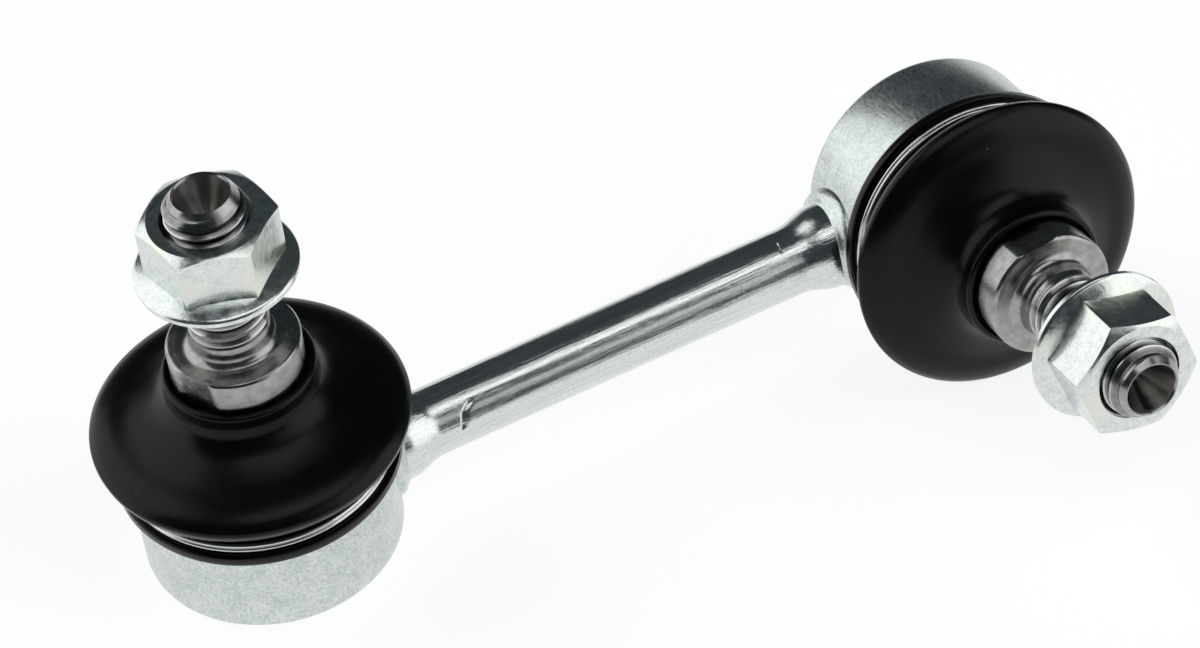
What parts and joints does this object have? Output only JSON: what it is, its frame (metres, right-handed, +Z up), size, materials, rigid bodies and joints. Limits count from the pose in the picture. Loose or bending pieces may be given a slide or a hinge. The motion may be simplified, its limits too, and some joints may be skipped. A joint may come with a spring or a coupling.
{
  "type": "stabilizer link",
  "caption": "Short steel stabilizer link: a solid rod between ball joints whose threaded studs, under rubber boots, point different ways and carry flange nuts.",
  "frame": {"origin": "middle of the link's outline on the surface that it rests on", "axes": "+Z up; +X along the rod from the stud that stands up to the one that lies level, tipped 5.5 degrees as the link lies at rest"},
  "size_m": [0.1368, 0.0722, 0.0606],
  "materials": {
    "zinc_plate": "dull zinc plating, faintly mottled",
    "polished_zinc": "bright zinc plating on drawn bar",
    "weld_metal": "plated weld flash",
    "bare_steel": "turned and oiled steel",
    "spring_wire": "bright drawn wire",
    "black_rubber": "satin black",
    "bearing_plastic": "natural acetal"
  },
  "bodies": {
    "link": {"link_rod": "polished_zinc", "left_housing": "zinc_plate", "left_lower_shell": "bearing_plastic", "left_upper_shell": "bearing_plastic", "left_retaining_washer": "bare_steel", "left_weld": "weld_metal", "left_boot_clip": "spring_wire", "right_housing": "zinc_plate", "right_lower_shell": "bearing_plastic", "right_upper_shell": "bearing_plastic", "right_retaining_washer": "bare_steel", "right_weld": "weld_metal", "right_boot_clip": "spring_wire"},
    "left_boot": {"left_dust_boot": "black_rubber"},
    "left_neck": {"left_boot_neck_ring": "bare_steel"},
    "left_stud": {"left_ball_stud": "bare_steel"},
    "left_nut": {"left_flange_nut": "zinc_plate"},
    "right_boot": {"right_dust_boot": "black_rubber"},
    "right_neck": {"right_boot_neck_ring": "bare_steel"},
    "right_stud": {"right_ball_stud": "bare_steel"},
    "right_nut": {"right_flange_nut": "zinc_plate"}
  },
  "joints": [
    {"name": "left_swing_along_rod", "type": "hinge", "parent": "link", "child": "left_boot", "pos_m": [-0.04791, 0.01622, 0.01489], "axis": [-0.0003, 1, 0.0034], "range_deg": [-17, 17], "deforming": ["left_dust_boot"]},
    {"name": "left_swing_about_rod", "type": "hinge", "parent": "left_boot", "child": "left_neck", "pos_m": [-0.04791, 0.01622, 0.01489], "axis": [0.9954, 0, 0.0954], "range_deg": [-17, 17], "deforming": ["left_dust_boot"]},
    {"name": "left_stud_spin", "type": "hinge", "parent": "left_neck", "child": "left_stud", "pos_m": [-0.04791, 0.01622, 0.01489], "axis": [-0.0954, -0.0034, 0.9954], "continuous": true},
    {"name": "left_nut_travel", "type": "slide", "parent": "left_stud", "child": "left_nut", "axis": [-0.0954, -0.0034, 0.9954], "range_m": [-0.0114, 0.0075]},
    {"name": "right_swing_along_rod", "type": "hinge", "parent": "link", "child": "right_boot", "pos_m": [0.0487, 0.00945, 0.0184], "axis": [-0.094, 0.1703, 0.9809], "range_deg": [-17, 17], "deforming": ["right_dust_boot"]},
    {"name": "right_swing_about_rod", "type": "hinge", "parent": "right_boot", "child": "right_neck", "pos_m": [0.0487, 0.00945, 0.0184], "axis": [0.9954, 0, 0.0954], "range_deg": [-17, 17], "deforming": ["right_dust_boot"]},
    {"name": "right_stud_spin", "type": "hinge", "parent": "right_neck", "child": "right_stud", "pos_m": [0.0487, 0.00945, 0.0184], "axis": [-0.0162, -0.9854, 0.1695], "continuous": true},
    {"name": "right_nut_travel", "type": "slide", "parent": "right_stud", "child": "right_nut", "axis": [-0.0162, -0.9854, 0.1695], "range_m": [-0.012, 0.0075]}
  ]
}
